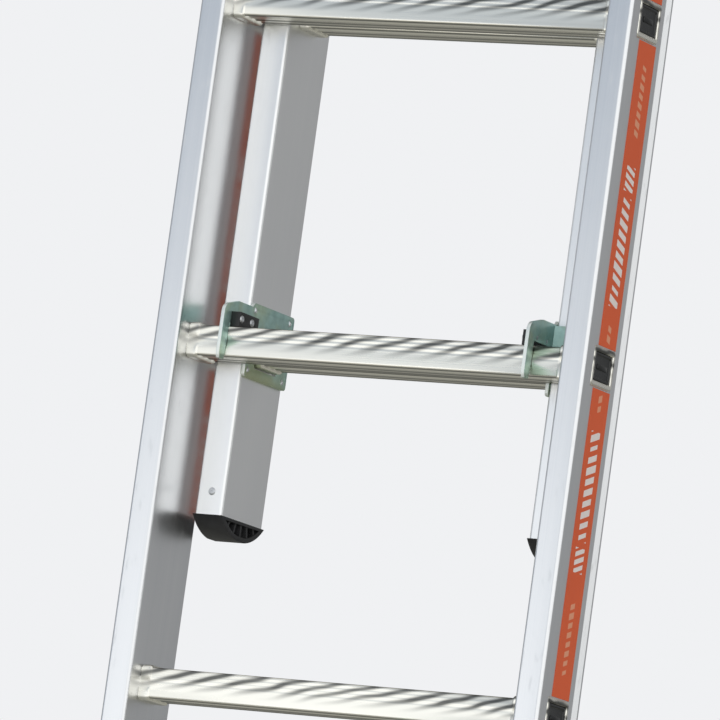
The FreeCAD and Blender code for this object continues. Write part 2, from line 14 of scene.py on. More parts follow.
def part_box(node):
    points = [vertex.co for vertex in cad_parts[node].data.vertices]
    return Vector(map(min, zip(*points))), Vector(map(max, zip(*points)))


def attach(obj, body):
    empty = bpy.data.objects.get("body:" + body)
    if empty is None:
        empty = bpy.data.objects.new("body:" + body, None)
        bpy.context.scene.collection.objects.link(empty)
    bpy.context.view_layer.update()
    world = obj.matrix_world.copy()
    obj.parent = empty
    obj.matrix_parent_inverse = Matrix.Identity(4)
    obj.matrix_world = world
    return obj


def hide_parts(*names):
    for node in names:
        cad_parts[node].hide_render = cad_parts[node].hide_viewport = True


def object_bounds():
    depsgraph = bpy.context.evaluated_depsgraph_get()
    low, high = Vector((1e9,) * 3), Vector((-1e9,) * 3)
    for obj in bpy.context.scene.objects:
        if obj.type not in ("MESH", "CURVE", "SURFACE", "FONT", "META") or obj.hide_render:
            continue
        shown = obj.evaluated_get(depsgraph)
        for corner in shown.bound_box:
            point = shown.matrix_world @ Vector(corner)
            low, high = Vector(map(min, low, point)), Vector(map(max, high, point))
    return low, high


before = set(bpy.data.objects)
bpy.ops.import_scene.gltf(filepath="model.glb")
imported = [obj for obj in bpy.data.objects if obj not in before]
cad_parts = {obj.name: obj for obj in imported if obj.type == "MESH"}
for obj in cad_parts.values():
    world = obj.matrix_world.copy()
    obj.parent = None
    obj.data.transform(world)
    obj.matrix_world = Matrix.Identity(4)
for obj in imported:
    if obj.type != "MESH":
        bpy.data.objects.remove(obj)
cad_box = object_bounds()

MM = 0.001
SIDES = {"left": -1, "right": 1}
SECTIONS = ("lower", "upper")
RUNGS = range(1, 8)

# Sizes of the extrusions and pressings that the node boxes don't give.
MERGE = 0.01 * MM
WALL = 1.6 * MM
RECESS = 2.2 * MM
FRONT_LIP = 14.0 * MM
REAR_LIP = 4.5 * MM
REAR_FLANK = 5.5 * MM
STILE_CORNER = 3.0 * MM
FOLD = 0.45 * MM
RUNG_DEPTH = 33.5 * MM
RUNG_HEIGHT = 25.0 * MM
RUNG_CORNER = 2.0 * MM
BEAD_LENGTH = 10.5 * MM
BEAD_RISE_Y = 1.0 * MM
BEAD_RISE_Z = 2.0 * MM
RIM_RISE_Y = 1.8 * MM
RIM_RISE_Z = 3.5 * MM
RIM_THICKNESS = 2.0 * MM
PLUG_EDGE_Y = 1.75 * MM
PLUG_EDGE_Z = 1.1 * MM
PLUG_PLATE = 1.1 * MM
PLUG_TAIL = 2.0 * MM
PLUG_CORNER = 2.4 * MM
PLUG_BAR_MARGIN = 6.5 * MM
PLUG_BAR_HALF = 2.2 * MM
PLUG_BAR_CORNER = 1.2 * MM
HOOK_PLATE = 3.0 * MM
RIVET_HEAD = 3.2 * MM
RIVET_HEIGHT = 1.0 * MM
RIVET_SHANK = 1.6 * MM


# --- node trees --------------------------------------------------------------------


class Channel:
    """A number in a node tree, as a socket that Python arithmetic adds Math nodes to."""

    def __init__(self, tree, socket):
        self.tree = tree
        self.socket = socket

    def maths(self, operation, *others, clamp=False):
        node = self.tree.nodes.new("ShaderNodeMath")
        node.operation = operation
        node.use_clamp = clamp
        for slot, value in zip(node.inputs, (self, *others)):
            connect(self.tree, value, slot)
        return Channel(self.tree, node.outputs[0])

    def __add__(self, other):
        return self.maths("ADD", other)

    __radd__ = __add__

    def __mul__(self, other):
        return self.maths("MULTIPLY", other)

    __rmul__ = __mul__

    def __sub__(self, other):
        return self.maths("SUBTRACT", other)

    def __rsub__(self, other):
        return (self * -1.0) + other

    def __truediv__(self, other):
        return self.maths("DIVIDE", other)

    def floor(self):
        return self.maths("FLOOR")

    def fraction(self):
        return self.maths("FRACT")

    def size(self):
        return self.maths("ABSOLUTE")

    def above(self, edge):
        return self.maths("GREATER_THAN", edge)

    def below(self, edge):
        return self.maths("LESS_THAN", edge)

    def clamped(self):
        return self.maths("ADD", 0.0, clamp=True)

    def step(self, low, high):
        """0 at low and 1 at high, with a smooth change between; low may be the larger."""
        node = self.tree.nodes.new("ShaderNodeMapRange")
        node.interpolation_type = "SMOOTHSTEP"
        connect(self.tree, self, node.inputs["Value"])
        node.inputs["From Min"].default_value = low
        node.inputs["From Max"].default_value = high
        return Channel(self.tree, node.outputs[0])


def connect(tree, value, slot):
    """Gives a socket its value: a link, a Channel, or a plain number or colour."""
    if isinstance(value, Channel):
        tree.links.new(value.socket, slot)
    elif isinstance(value, bpy.types.NodeSocket):
        tree.links.new(value, slot)
    elif isinstance(value, tuple) and slot.type == "RGBA":
        slot.default_value = (*value, 1.0)
    else:
        slot.default_value = value


class Nodes:
    """A node tree built from calls: each gives a node's type, settings and inputs."""

    def __init__(self, tree):
        self.tree = tree

    def node(self, kind, settings=(), **inputs):
        node = self.tree.nodes.new(kind)
        for name, value in dict(settings).items():
            setattr(node, name, value)
        for name, value in inputs.items():
            slot = node.inputs[int(name[1:])] if name[0] == "_" else node.inputs[name]
            connect(self.tree, value, slot)
        return node

    def axes(self, vector):
        parts = self.node("ShaderNodeSeparateXYZ", Vector=vector)
        return [Channel(self.tree, output) for output in parts.outputs]

    def mix(self, share, first, second):
        """Colour between first and second; sockets 0, 6 and 7 are the share and colours."""
        settings = {"data_type": "RGBA"}
        return self.node("ShaderNodeMix", settings, _0=share, _6=first, _7=second).outputs[2]


class Finish(Nodes):
    """A material whose patterns read Object coordinates."""

    def __init__(self, name, **constants):
        self.material = bpy.data.materials.new(name)
        self.material.use_nodes = True
        super().__init__(self.material.node_tree)
        self.surface = self.tree.nodes["Principled BSDF"]
        for name, value in constants.items():
            self.surface.inputs[name.replace("_", " ")].default_value = value
        self.place = self.node("ShaderNodeTexCoord").outputs["Object"]

    def stretched(self, scale):
        """Object coordinates scaled by axis, for grain that runs one way."""
        return self.node("ShaderNodeMapping", Vector=self.place, Scale=scale).outputs[0]

    def noise(self, scale, detail=3.0, at=None):
        node = self.node("ShaderNodeTexNoise", Vector=at or self.place, Scale=scale, Detail=detail)
        return Channel(self.tree, node.outputs[0])

    def random(self, number):
        node = self.node("ShaderNodeTexWhiteNoise", {"noise_dimensions": "1D"}, W=number)
        return Channel(self.tree, node.outputs[0])

    def shape(self, **inputs):
        for name, value in inputs.items():
            connect(self.tree, value, self.surface.inputs[name.replace("_", " ")])

    def bump(self, height, distance, strength=1.0):
        node = self.node("ShaderNodeBump", Height=height, Distance=distance, Strength=strength)
        self.shape(Normal=node.outputs[0])


def stile_finish(name, pale, dark, haze_level):
    """Mill-finish extrusion: fine die lines along Z, soft haze and light handling marks."""
    f = Finish(name, Metallic=1.0)
    lines = f.noise(1.0, 4.0, f.stretched((900.0, 900.0, 1.5)))
    broad = f.noise(1.0, 2.0, f.stretched((120.0, 120.0, 0.8)))
    haze = f.noise(7.0, 4.0)
    scuffs = f.noise(1.0, 3.0, f.stretched((260.0, 260.0, 60.0))).step(0.62, 0.72)
    tone = (0.35 * lines + 0.25 * broad + 0.4 * haze).clamped()
    f.shape(
        Base_Color=f.mix(tone, dark, pale),
        Roughness=haze_level + 0.10 * haze + 0.06 * lines + 0.10 * scuffs,
    )
    f.bump(0.7 * lines + 0.3 * scuffs, 0.00006, 0.5)
    return f.material


def rung_finish():
    """Bright drawn tube: lines along X, painted reflections as dark slanted streaks on its upper
    half, and painted shade as dark stripes along its underside between the beads.
    """
    f = Finish("drawn_aluminium", Metallic=1.0)
    x, y, z = f.axes(f.place)
    lines = f.noise(1.0, 4.0, f.stretched((2.5, 900.0, 900.0)))
    patches = f.noise(1.0, 2.0, f.stretched((9.0, 60.0, 60.0)))
    sway = f.noise(1.0, 2.0, f.stretched((14.0, 30.0, 30.0)))
    level = z - y.above(LABEL_SPLIT) * UPPER_RUNG_RISE
    height = ((level - RUNG_OFFSET) / RUNG_PITCH).fraction() * RUNG_PITCH - RUNG_PITCH / 2
    # Painted reflection: dark slanted streaks across the upper half of each rung face.
    slant = (x / STREAK_PITCH - height / STREAK_RISE + 1.4 * sway).fraction()
    painted_reflection_streak = (slant - 0.5).size().step(0.40, 0.04)
    upper_half = height.step(-0.008, 0.006)
    # Painted shade: dark stripes along the underside of each rung, between the beads.
    across = (y - RUNG_FRONT_Y) / UNDERSIDE_STRIPE
    painted_shade_stripe = (across.fraction() - 0.31).size().step(0.36, 0.26)
    underside = height.step(0.9 * MM - RUNG_HEIGHT / 2, 0.3 * MM - RUNG_HEIGHT / 2)
    plain_end = y.above(LABEL_SPLIT) * (BEAD_X["upper"] - BEAD_X["lower"]) + BEAD_X["lower"]
    underside = underside * (plain_end - x.size()).above(0.0)
    # marks holds the painted reflection streaks and the painted shade stripes, drawn in the dark
    # colour below.
    marks = (painted_reflection_streak * upper_half * (0.45 + 1.1 * patches) + 0.85 * painted_shade_stripe * underside).clamped()
    clean = f.mix((0.6 * lines + 0.5 * patches).clamped(), (0.88, 0.86, 0.77), (1.0, 0.98, 0.90))
    f.shape(
        Base_Color=f.mix(marks, clean, (0.16, 0.16, 0.15)),
        Roughness=0.20 + 0.10 * lines + 0.08 * patches,
    )
    f.bump(lines, 0.00005, 0.5)
    return f.material


def zinc_finish():
    """Zinc plate with a green to yellow passivate that drifts over the surface; the colour is
    yellower below the hooked rung, and the plates' front-facing edges carry a painted highlight in
    near white.
    """
    f = Finish("passivated_zinc", Metallic=0.65)
    drift = f.noise(38.0, 3.0).step(0.36, 0.66)
    grain = f.noise(900.0, 2.0)
    cloud = f.noise(140.0, 3.0)
    green = f.mix(cloud, (0.20, 0.36, 0.33), (0.54, 0.76, 0.72))
    x, _, z = f.axes(f.place)
    # Yellower below the hooked rung, set by height alone.
    low_down = (z - HOOKED_RUNG_Z).step(0.0, -30 * MM)
    film = f.mix(0.3 * drift + 0.4 * low_down, green, (0.60, 0.58, 0.25))
    # Painted highlight: plate faces that look to the front are painted near white.
    normal = f.axes(f.node("ShaderNodeNewGeometry").outputs["Normal"])
    painted_edge_highlight = normal[1].below(-0.5) * x.size().below(HOOK_PLATE_OUTER)
    f.shape(
        Base_Color=f.mix(0.8 * painted_edge_highlight, film, (0.93, 0.95, 0.93)),
        Roughness=0.30 + 0.16 * cloud,
    )
    f.bump(grain, 0.00004, 0.5)
    return f.material


def moulded_finish(name, colour, roughness, grain_size, depth):
    """Moulded plastic or rubber with a fine spark texture and slight wear."""
    f = Finish(name)
    grain = f.noise(grain_size, 2.0)
    wear = f.noise(60.0, 4.0)
    worn = tuple(1.8 * c + 0.004 for c in colour)
    f.shape(
        Base_Color=f.mix(wear.step(0.45, 0.8), colour, worn),
        Roughness=roughness + 0.14 * wear,
    )
    f.bump(grain, depth, 0.6)
    return f.material


def rivet_finish():
    """Dull pressed aluminium with a stained, uneven tone."""
    f = Finish("pressed_rivet", Metallic=1.0)
    grain = f.noise(1400.0, 2.0)
    stain = f.noise(260.0, 3.0)
    f.shape(
        Base_Color=f.mix(stain, (0.45, 0.47, 0.50), (0.80, 0.81, 0.82)),
        Roughness=0.28 + 0.2 * stain,
    )
    f.bump(grain, 0.00003, 0.5)
    return f.material


def label_finish():
    """Orange film with plain pale printed dashes, mirrored about every other rung."""
    f = Finish("printed_film", Coat_Weight=0.15, Coat_Roughness=0.25)
    x, y, z = f.axes(f.place)
    fade = f.noise(14.0, 3.0)
    speck = f.noise(700.0, 2.0)
    bays = (z - HOOKED_RUNG_Z) / RUNG_PITCH
    there_and_back = ((bays / 2.0).fraction() * 2.0 - 1.0).size()
    along = (1.0 - there_and_back) * RUNG_PITCH
    middle = y.above(LABEL_SPLIT) * (LABEL_Y["upper"] - LABEL_Y["lower"]) + LABEL_Y["lower"]
    across = (y - middle).size()

    def dashes(low, high, pitch, half_width, salt):
        """Printed blocks of uneven length from low to high between two rungs."""
        cell = (along + 0.35 * (y - middle) - low) / pitch
        wide = f.random(cell.floor() + salt)
        inside = along.above(low) * along.below(high)
        block = (cell.fraction() - 0.5).size().below(0.20 + 0.16 * wide)
        return inside * block * across.below(half_width * (0.72 + 0.28 * wide))

    large = dashes(0.050, 0.138, 0.0088, 0.0080, 3.0)
    square = dashes(0.143, 0.163, 0.0067, 0.0085, 7.0)
    small = dashes(0.186, 0.246, 0.0075, 0.0040, 5.0) + dashes(0.020, 0.036, 0.008, 0.0030, 6.0)
    white = (large + square).clamped()
    orange = f.mix(fade, (0.66, 0.085, 0.012), (0.76, 0.110, 0.018))
    with_small = f.mix(small.clamped() * 0.7, orange, (0.80, 0.42, 0.25))
    f.shape(
        Base_Color=f.mix(white * 0.9, with_small, (0.86, 0.84, 0.80)),
        Roughness=0.38 + 0.12 * fade,
    )
    f.bump(speck, 0.00002, 0.3)
    return f.material


# --- mesh helpers ------------------------------------------------------------------


def new_piece(name, mesh, material, body, replaced, sharp=35.0):
    """Puts a finished mesh in the scene, on its body, in place of its CAD nodes."""
    piece = bpy.data.objects.new(name, mesh)
    bpy.context.scene.collection.objects.link(piece)
    mesh.materials.clear()
    mesh.materials.append(material)
    mesh.shade_smooth()
    mesh.set_sharp_from_angle(angle=math.radians(sharp))
    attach(piece, body)
    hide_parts(*replaced)
    return piece


def mesh_from(bm, name):
    bmesh.ops.recalc_face_normals(bm, faces=bm.faces)
    mesh = bpy.data.meshes.new(name)
    bm.to_mesh(mesh)
    bm.free()
    return mesh


def evaluated(piece):
    """The object's mesh with its modifiers applied; the object itself is removed."""
    graph = bpy.context.evaluated_depsgraph_get()
    mesh = bpy.data.meshes.new_from_object(piece.evaluated_get(graph))
    bpy.data.objects.remove(piece)
    return mesh


def rounded(corners, steps=5):
    """Outline through (u, v, radius) corners, each turned into an arc of that radius."""
    points = []
    count = len(corners)
    for i, (u, v, radius) in enumerate(corners):
        here = Vector((u, v))
        before = (Vector(corners[i - 1][:2]) - here).normalized()
        after = (Vector(corners[(i + 1) % count][:2]) - here).normalized()
        half = before.angle(after) / 2
        centre = here + (before + after).normalized() * radius / math.sin(half)
        start = here + before * radius / math.tan(half) - centre
        end = here + after * radius / math.tan(half) - centre
        turn = start.angle_signed(end)
        for k in range(steps + 1):
            spun = start.copy()
            spun.rotate(Matrix.Rotation(-turn * k / steps, 2))
            points.append(centre + spun)
    return points


def rounded_rectangle(half_u, half_v, radius, steps=5):
    corners = [(-half_u, -half_v), (half_u, -half_v), (half_u, half_v), (-half_u, half_v)]
    return rounded([(u, v, radius) for u, v in corners], steps)


def loft(bm, loops):
    """Skins closed loops of equal length, one after the other."""
    rings = [[bm.verts.new(p) for p in loop] for loop in loops]
    for ring, after in zip(rings, rings[1:]):
        for i in range(len(ring)):
            j = (i + 1) % len(ring)
            bm.faces.new((ring[i], ring[j], after[j], after[i]))
    return rings


def lathe(bm, profile, turns=20):
    """Turned shape about Z from (radius, height) points that start and end on the axis."""
    rings = []
    for radius, height in profile[1:-1]:
        ring = []
        for k in range(turns):
            a = 2 * math.pi * k / turns
            ring.append(Vector((radius * math.cos(a), radius * math.sin(a), height)))
        rings.append(ring)
    made = loft(bm, rings)
    for ring, (_, height) in ((made[0], profile[0]), (made[-1], profile[-1])):
        tip = bm.verts.new((0, 0, height))
        for i in range(turns):
            bm.faces.new((ring[i], ring[(i + 1) % turns], tip))


def eased(node, material, width, body, segments=2):
    """A CAD shape with its sharp edges broken, as pressing, folding or moulding leaves them."""
    bm = bmesh.new()
    bm.from_mesh(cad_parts[node].data)
    bmesh.ops.remove_doubles(bm, verts=bm.verts, dist=MERGE)
    bmesh.ops.dissolve_limit(
        bm, angle_limit=math.radians(1.0), verts=bm.verts, edges=bm.edges, delimit={"NORMAL"}
    )
    sharp = [
        e for e in bm.edges
        if len(e.link_faces) == 2 and e.calc_face_angle() > math.radians(28.0)
    ]
    bmesh.ops.bevel(
        bm, geom=sharp, offset=width, segments=segments, profile=0.5, affect="EDGES",
        clamp_overlap=True,
    )
    bmesh.ops.triangulate(bm, faces=[f for f in bm.faces if len(f.verts) > 4])
    return new_piece(f"{node}_eased", mesh_from(bm, node), material, body, [node])


def scatter_tree(material):
    """Nodes that put one pressed or moulded shape at each point, turned as the point says."""
    tree = bpy.data.node_groups.new("set_in_place", "GeometryNodeTree")
    face = tree.interface
    face.new_socket("Points", in_out="INPUT", socket_type="NodeSocketGeometry")
    face.new_socket("Shape", in_out="INPUT", socket_type="NodeSocketObject")
    face.new_socket("Size", in_out="INPUT", socket_type="NodeSocketFloat")
    face.new_socket("Pieces", in_out="OUTPUT", socket_type="NodeSocketGeometry")
    g = Nodes(tree)
    given = g.node("NodeGroupInput").outputs
    shape = g.node("GeometryNodeObjectInfo", Object=given["Shape"])
    turn = g.node("GeometryNodeInputNamedAttribute", {"data_type": "FLOAT_VECTOR"}, Name="turn")
    placed = g.node(
        "GeometryNodeInstanceOnPoints", Points=given["Points"], Instance=shape.outputs["Geometry"],
        Rotation=turn.outputs["Attribute"], Scale=given["Size"],
    )
    solid = g.node("GeometryNodeRealizeInstances", Geometry=placed.outputs["Instances"])
    finished = g.node(
        "GeometryNodeSetMaterial", Geometry=solid.outputs["Geometry"], Material=material
    )
    g.node("NodeGroupOutput", Pieces=finished.outputs["Geometry"])
    return tree


def scatter(name, shape, places, material, size=1.0):
    """Mesh of the shape repeated at (position, turn) places."""
    mesh = bpy.data.meshes.new(name)
    mesh.from_pydata([p for p, _ in places], [], [])
    turns = mesh.attributes.new("turn", "FLOAT_VECTOR", "POINT")
    for item, (_, turn) in zip(turns.data, places):
        item.vector = turn
    points = bpy.data.objects.new(name, mesh)
    bpy.context.scene.collection.objects.link(points)
    source = bpy.data.objects.new(name + "_shape", shape)
    bpy.context.scene.collection.objects.link(source)
    tree = scatter_tree(material)
    modifier = points.modifiers.new("set_in_place", "NODES")
    modifier.node_group = tree
    sockets = {s.name: s.identifier for s in tree.interface.items_tree if s.in_out == "INPUT"}
    modifier[sockets["Shape"]] = source
    modifier[sockets["Size"]] = size
    made = evaluated(points)
    bpy.data.objects.remove(source)
    return made


# --- places read from the frame ----------------------------------------------------


def rung_centre(section, number):
    low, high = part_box(f"{section}_rung_{number}")
    return (low + high) / 2


first, second = rung_centre("lower", 1), rung_centre("lower", 2)
RUNG_PITCH = second.z - first.z
RUNG_OFFSET = first.z - RUNG_PITCH / 2
# Spacing and slope of the painted reflection streaks on the rungs.
STREAK_PITCH = 31 * MM
STREAK_RISE = 8.5 * MM
RUNG_FRONT_Y = first.y - RUNG_DEPTH / 2
# Spacing of the painted shade stripes on the rung undersides.
UNDERSIDE_STRIPE = 13 * MM
HOOKED_RUNG_Z = rung_centre("lower", 3).z
UPPER_RUNG_RISE = rung_centre("upper", 1).z - HOOKED_RUNG_Z
HOOK_PLATE_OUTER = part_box("right_hook")[0].x + HOOK_PLATE + 0.05 * MM
LABEL_Y = {}
for section in SECTIONS:
    low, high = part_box(f"{section}_right_label")
    LABEL_Y[section] = (low.y + high.y) / 2
LABEL_SPLIT = (LABEL_Y["lower"] + LABEL_Y["upper"]) / 2
BEAD_X = {s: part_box(f"{s}_right_stile")[0].x - BEAD_LENGTH for s in SECTIONS}

FINISHES = {
    "lower_stile": stile_finish("extruded_aluminium", (0.90, 0.90, 0.90), (0.70, 0.72, 0.74), 0.23),
    "upper_stile": stile_finish("pale_aluminium", (0.98, 0.98, 0.97), (0.86, 0.87, 0.88), 0.27),
    "rung": rung_finish(),
    "zinc": zinc_finish(),
    "rivet": rivet_finish(),
    "label": label_finish(),
    "plug": moulded_finish("moulded_plug", (0.005, 0.006, 0.006), 0.16, 900.0, 0.00002),
    "shoe": moulded_finish("shoe_rubber", (0.012, 0.012, 0.013), 0.42, 500.0, 0.00008),
    "cap": moulded_finish("moulded_cap", (0.012, 0.012, 0.013), 0.34, 800.0, 0.00003),
    "nylon": moulded_finish("seat_nylon", (0.014, 0.014, 0.014), 0.36, 700.0, 0.00003),
}


# --- stiles ------------------------------------------------------------------------


def build_stile(section, side_name):
    """Extruded box with a shallow recess in its outer face, punched for the rungs."""
    side = SIDES[side_name]
    node = f"{section}_{side_name}_stile"
    low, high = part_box(node)
    inner, outer = sorted((low.x, high.x), key=abs)
    front_edge = low.y + FRONT_LIP
    rear_edge = high.y - REAR_LIP
    floor = outer - side * RECESS
    wall = side * WALL
    outline = rounded([
        (inner, low.y, STILE_CORNER),
        (outer, low.y, STILE_CORNER),
        (outer, front_edge, FOLD),
        (floor, front_edge + RECESS, FOLD),
        (floor, rear_edge - REAR_FLANK, FOLD),
        (outer, rear_edge, FOLD),
        (outer, high.y, STILE_CORNER),
        (inner, high.y, STILE_CORNER),
    ], 8)
    hollow = rounded([
        (inner + wall, low.y + WALL, FOLD),
        (outer - wall, low.y + WALL, FOLD),
        (outer - wall, front_edge - WALL, FOLD),
        (floor - wall, front_edge + RECESS - WALL, FOLD),
        (floor - wall, rear_edge - REAR_FLANK + WALL, FOLD),
        (outer - wall, rear_edge + WALL, FOLD),
        (outer - wall, high.y - WALL, FOLD),
        (inner + wall, high.y - WALL, FOLD),
    ], 2)
    bm = bmesh.new()
    ends = []
    for ring in (outline, hollow):
        loops = [[Vector((p.x, p.y, z)) for p in ring] for z in (low.z, high.z)]
        ends.append(loft(bm, loops))
    for level in (0, 1):
        rims = []
        for rings in ends:
            verts = rings[level]
            rims += [bm.edges.get((verts[i - 1], verts[i])) for i in range(len(verts))]
        bmesh.ops.triangle_fill(bm, use_beauty=True, edges=rims)
    tube = bpy.data.objects.new(node, mesh_from(bm, node))
    bpy.context.scene.collection.objects.link(tube)

    cutter_bm = bmesh.new()
    for number in RUNGS:
        centre = rung_centre(section, number)
        opening = rounded_rectangle(RUNG_DEPTH / 2, RUNG_HEIGHT / 2, RUNG_CORNER)
        reach = (inner - side * 5 * MM, outer + side * 5 * MM)
        loops = [[Vector((x, centre.y + p.x, centre.z + p.y)) for p in opening] for x in reach]
        rings = loft(cutter_bm, loops)
        for ring in rings:
            cutter_bm.faces.new(ring)
    cutter = bpy.data.objects.new("rung_punch", mesh_from(cutter_bm, "rung_punch"))
    bpy.context.scene.collection.objects.link(cutter)
    punch = tube.modifiers.new("punch", "BOOLEAN")
    punch.operation = "DIFFERENCE"
    punch.solver = "EXACT"
    punch.object = cutter
    mesh = evaluated(tube)
    bpy.data.objects.remove(cutter)
    return new_piece(
        f"{node}_extrusion", mesh, FINISHES[f"{section}_stile"], f"{section}_section",
        [node], 40.0,
    )


# --- rungs -------------------------------------------------------------------------

TREAD_RIBS = 7
FACE_RIBS = 3
RIB_DEPTH = 0.55 * MM
FACE_RIB_DEPTH = 0.18 * MM
UNDER_RIBS = 3
UNDER_RIB_DEPTH = 0.8 * MM
RIB_STEPS = 6
CORNER_STEPS = 5
PINCH_HALF_HEIGHT = 4.5 * MM
BEAD_PINCH = 1.5 * MM
RIM_CORNER_CHANGE = 1.0 * MM
PLUG_CLEARANCE = 0.2 * MM

# The bead: (share of its length, share of its rise), from the bare rung to the stile.
BEAD_SWELL = (
    (0.0, 0.0), (0.05, 0.35), (0.11, 0.75), (0.19, 0.96), (0.30, 1.0), (0.74, 1.0),
    (0.85, 0.96), (0.93, 0.75), (0.98, 0.40), (1.0, 0.12),
)
# The curled rim outside the stile and its mouth: (share of its thickness, share of its rise).
RIM_CURL = ((0.10, 0.70), (0.30, 0.92), (0.55, 1.0), (0.75, 0.98), (0.92, 0.86), (1.0, 0.66))
RIM_MOUTH = ((0.98, 0.30), (0.86, 0.08), (0.70, 0.0), (0.0, 0.0))


def rung_loop(x, half_y, half_z, corner, ribs, pinch, centre):
    """Rung section at x: ribbed tread and underside, ribbed upper half on both faces."""
    flat_y = half_y - corner
    flat_z = half_z - corner
    outline = []
    tread_count = TREAD_RIBS * RIB_STEPS
    face_count = 2 * FACE_RIBS * RIB_STEPS

    def face_dent(share):
        """How far a face stands back at this share of its height."""
        z = (2 * share - 1) * flat_z
        waist = pinch * math.exp(-((z / PINCH_HALF_HEIGHT) ** 2))
        if share <= 0.5:
            return waist
        wave = 0.5 - 0.5 * math.cos(2 * math.pi * FACE_RIBS * (2 * share - 1))
        return waist + ribs * FACE_RIB_DEPTH * wave

    def groove(share, count, depth):
        wave = 0.5 - 0.5 * math.cos(2 * math.pi * count * share)
        return ribs * depth * wave

    def arc(cy, cz, start):
        for k in range(1, CORNER_STEPS):
            a = math.radians(start - 90.0 * k / CORNER_STEPS)
            outline.append((cy + corner * math.cos(a), cz + corner * math.sin(a)))

    for k in range(face_count + 1):
        share = k / face_count
        outline.append((-half_y + face_dent(share), (2 * share - 1) * flat_z))
    arc(-flat_y, flat_z, 180.0)
    for k in range(tread_count + 1):
        share = k / tread_count
        outline.append(((2 * share - 1) * flat_y, half_z - groove(share, TREAD_RIBS, RIB_DEPTH)))
    arc(flat_y, flat_z, 90.0)
    for k in range(face_count + 1):
        share = 1 - k / face_count
        outline.append((half_y - face_dent(share), (2 * share - 1) * flat_z))
    arc(flat_y, -flat_z, 0.0)
    for k in range(tread_count + 1):
        share = 1 - k / tread_count
        dent = groove(share, UNDER_RIBS, UNDER_RIB_DEPTH)
        outline.append(((2 * share - 1) * flat_y, -half_z + dent))
    arc(-flat_y, -flat_z, -90.0)
    return [Vector((x, centre.y + y, centre.z + z)) for y, z in outline]


def build_rung(section, number):
    """Drawn tube swaged to a bead inside each stile and curled to a rim outside it."""
    node = f"{section}_rung_{number}"
    centre = rung_centre(section, number)
    low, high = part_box(f"{section}_right_stile")
    inner = low.x
    wall_face = high.x - RECESS
    half_y = RUNG_DEPTH / 2
    half_z = RUNG_HEIGHT / 2
    start = inner - BEAD_LENGTH
    stations = []

    def station(x, rise_y, rise_z, ribs, pinch=0.0, corner=RUNG_CORNER):
        stations.append((x, half_y + rise_y, half_z + rise_z, corner, ribs, pinch))

    for share, swell in BEAD_SWELL:
        station(
            start + share * BEAD_LENGTH, swell * BEAD_RISE_Y, swell * BEAD_RISE_Z,
            max(0.0, 1.0 - 2.0 * swell), swell * BEAD_PINCH, RUNG_CORNER + swell * BEAD_PINCH,
        )
    for x in (inner + 1.0 * MM, wall_face - 1.0 * MM, wall_face + 0.05 * MM):
        station(x, 0.0, 0.0, 0.0)
    for depth, share in RIM_CURL:
        station(
            wall_face + depth * RIM_THICKNESS, share * RIM_RISE_Y, share * RIM_RISE_Z,
            0.0, 0.0, RUNG_CORNER + RIM_CORNER_CHANGE,
        )
    mouth_y = -PLUG_EDGE_Y + PLUG_CLEARANCE
    mouth_z = -PLUG_EDGE_Z + PLUG_CLEARANCE
    for depth, share in RIM_MOUTH:
        station(
            wall_face + depth * RIM_THICKNESS, mouth_y + share * RIM_RISE_Y,
            mouth_z + share * RIM_RISE_Z, 0.0, 0.0, RUNG_CORNER - RIM_CORNER_CHANGE,
        )
    right = [rung_loop(*s[:6], centre) for s in stations]
    left = [[Vector((-p.x, p.y, p.z)) for p in loop] for loop in reversed(right)]
    bm = bmesh.new()
    rings = loft(bm, left + right)
    for ring in (rings[0], rings[-1]):
        bm.faces.new(ring)
    bmesh.ops.triangulate(bm, faces=[f for f in bm.faces if len(f.verts) > 4])
    mesh = mesh_from(bm, node)
    return new_piece(
        f"{node}_tube", mesh, FINISHES["rung"], f"{section}_section",
        [node], 50.0,
    )


# --- plugs and rivets --------------------------------------------------------------


def plug_shape():
    """Rung plug seen from outside: domed edge, sunk panel and a raised bar across it."""
    half_y = RUNG_DEPTH / 2 - PLUG_EDGE_Y
    half_z = RUNG_HEIGHT / 2 - PLUG_EDGE_Z
    top = PLUG_PLATE
    face_steps = (
        (0.0, -PLUG_TAIL), (0.0, 0.55 * top), (0.25 * MM, 0.88 * top), (0.7 * MM, top),
        (2.2 * MM, top), (2.6 * MM, 0.8 * top), (3.0 * MM, 0.35 * top), (3.6 * MM, 0.3 * top),
    )
    bm = bmesh.new()
    loops = []
    for inset, x in face_steps:
        corner = PLUG_CORNER - inset / 2
        ring = rounded_rectangle(half_y - inset, half_z - inset, corner)
        loops.append([Vector((x, p.x, p.y)) for p in ring])
    rings = loft(bm, loops)
    bm.faces.new(rings[0])
    bm.faces.new(rings[-1])
    loops = []
    for inset, x in ((0.0, 0.25 * top), (0.0, 0.62 * top), (0.35 * MM, 0.8 * top)):
        bar_y = half_y - PLUG_BAR_MARGIN - inset
        ring = rounded_rectangle(bar_y, PLUG_BAR_HALF - inset, PLUG_BAR_CORNER - inset / 2)
        loops.append([Vector((x, p.x, p.y)) for p in ring])
    rings = loft(bm, loops)
    bm.faces.new(rings[0])
    bm.faces.new(rings[-1])
    return mesh_from(bm, "plug_shape")


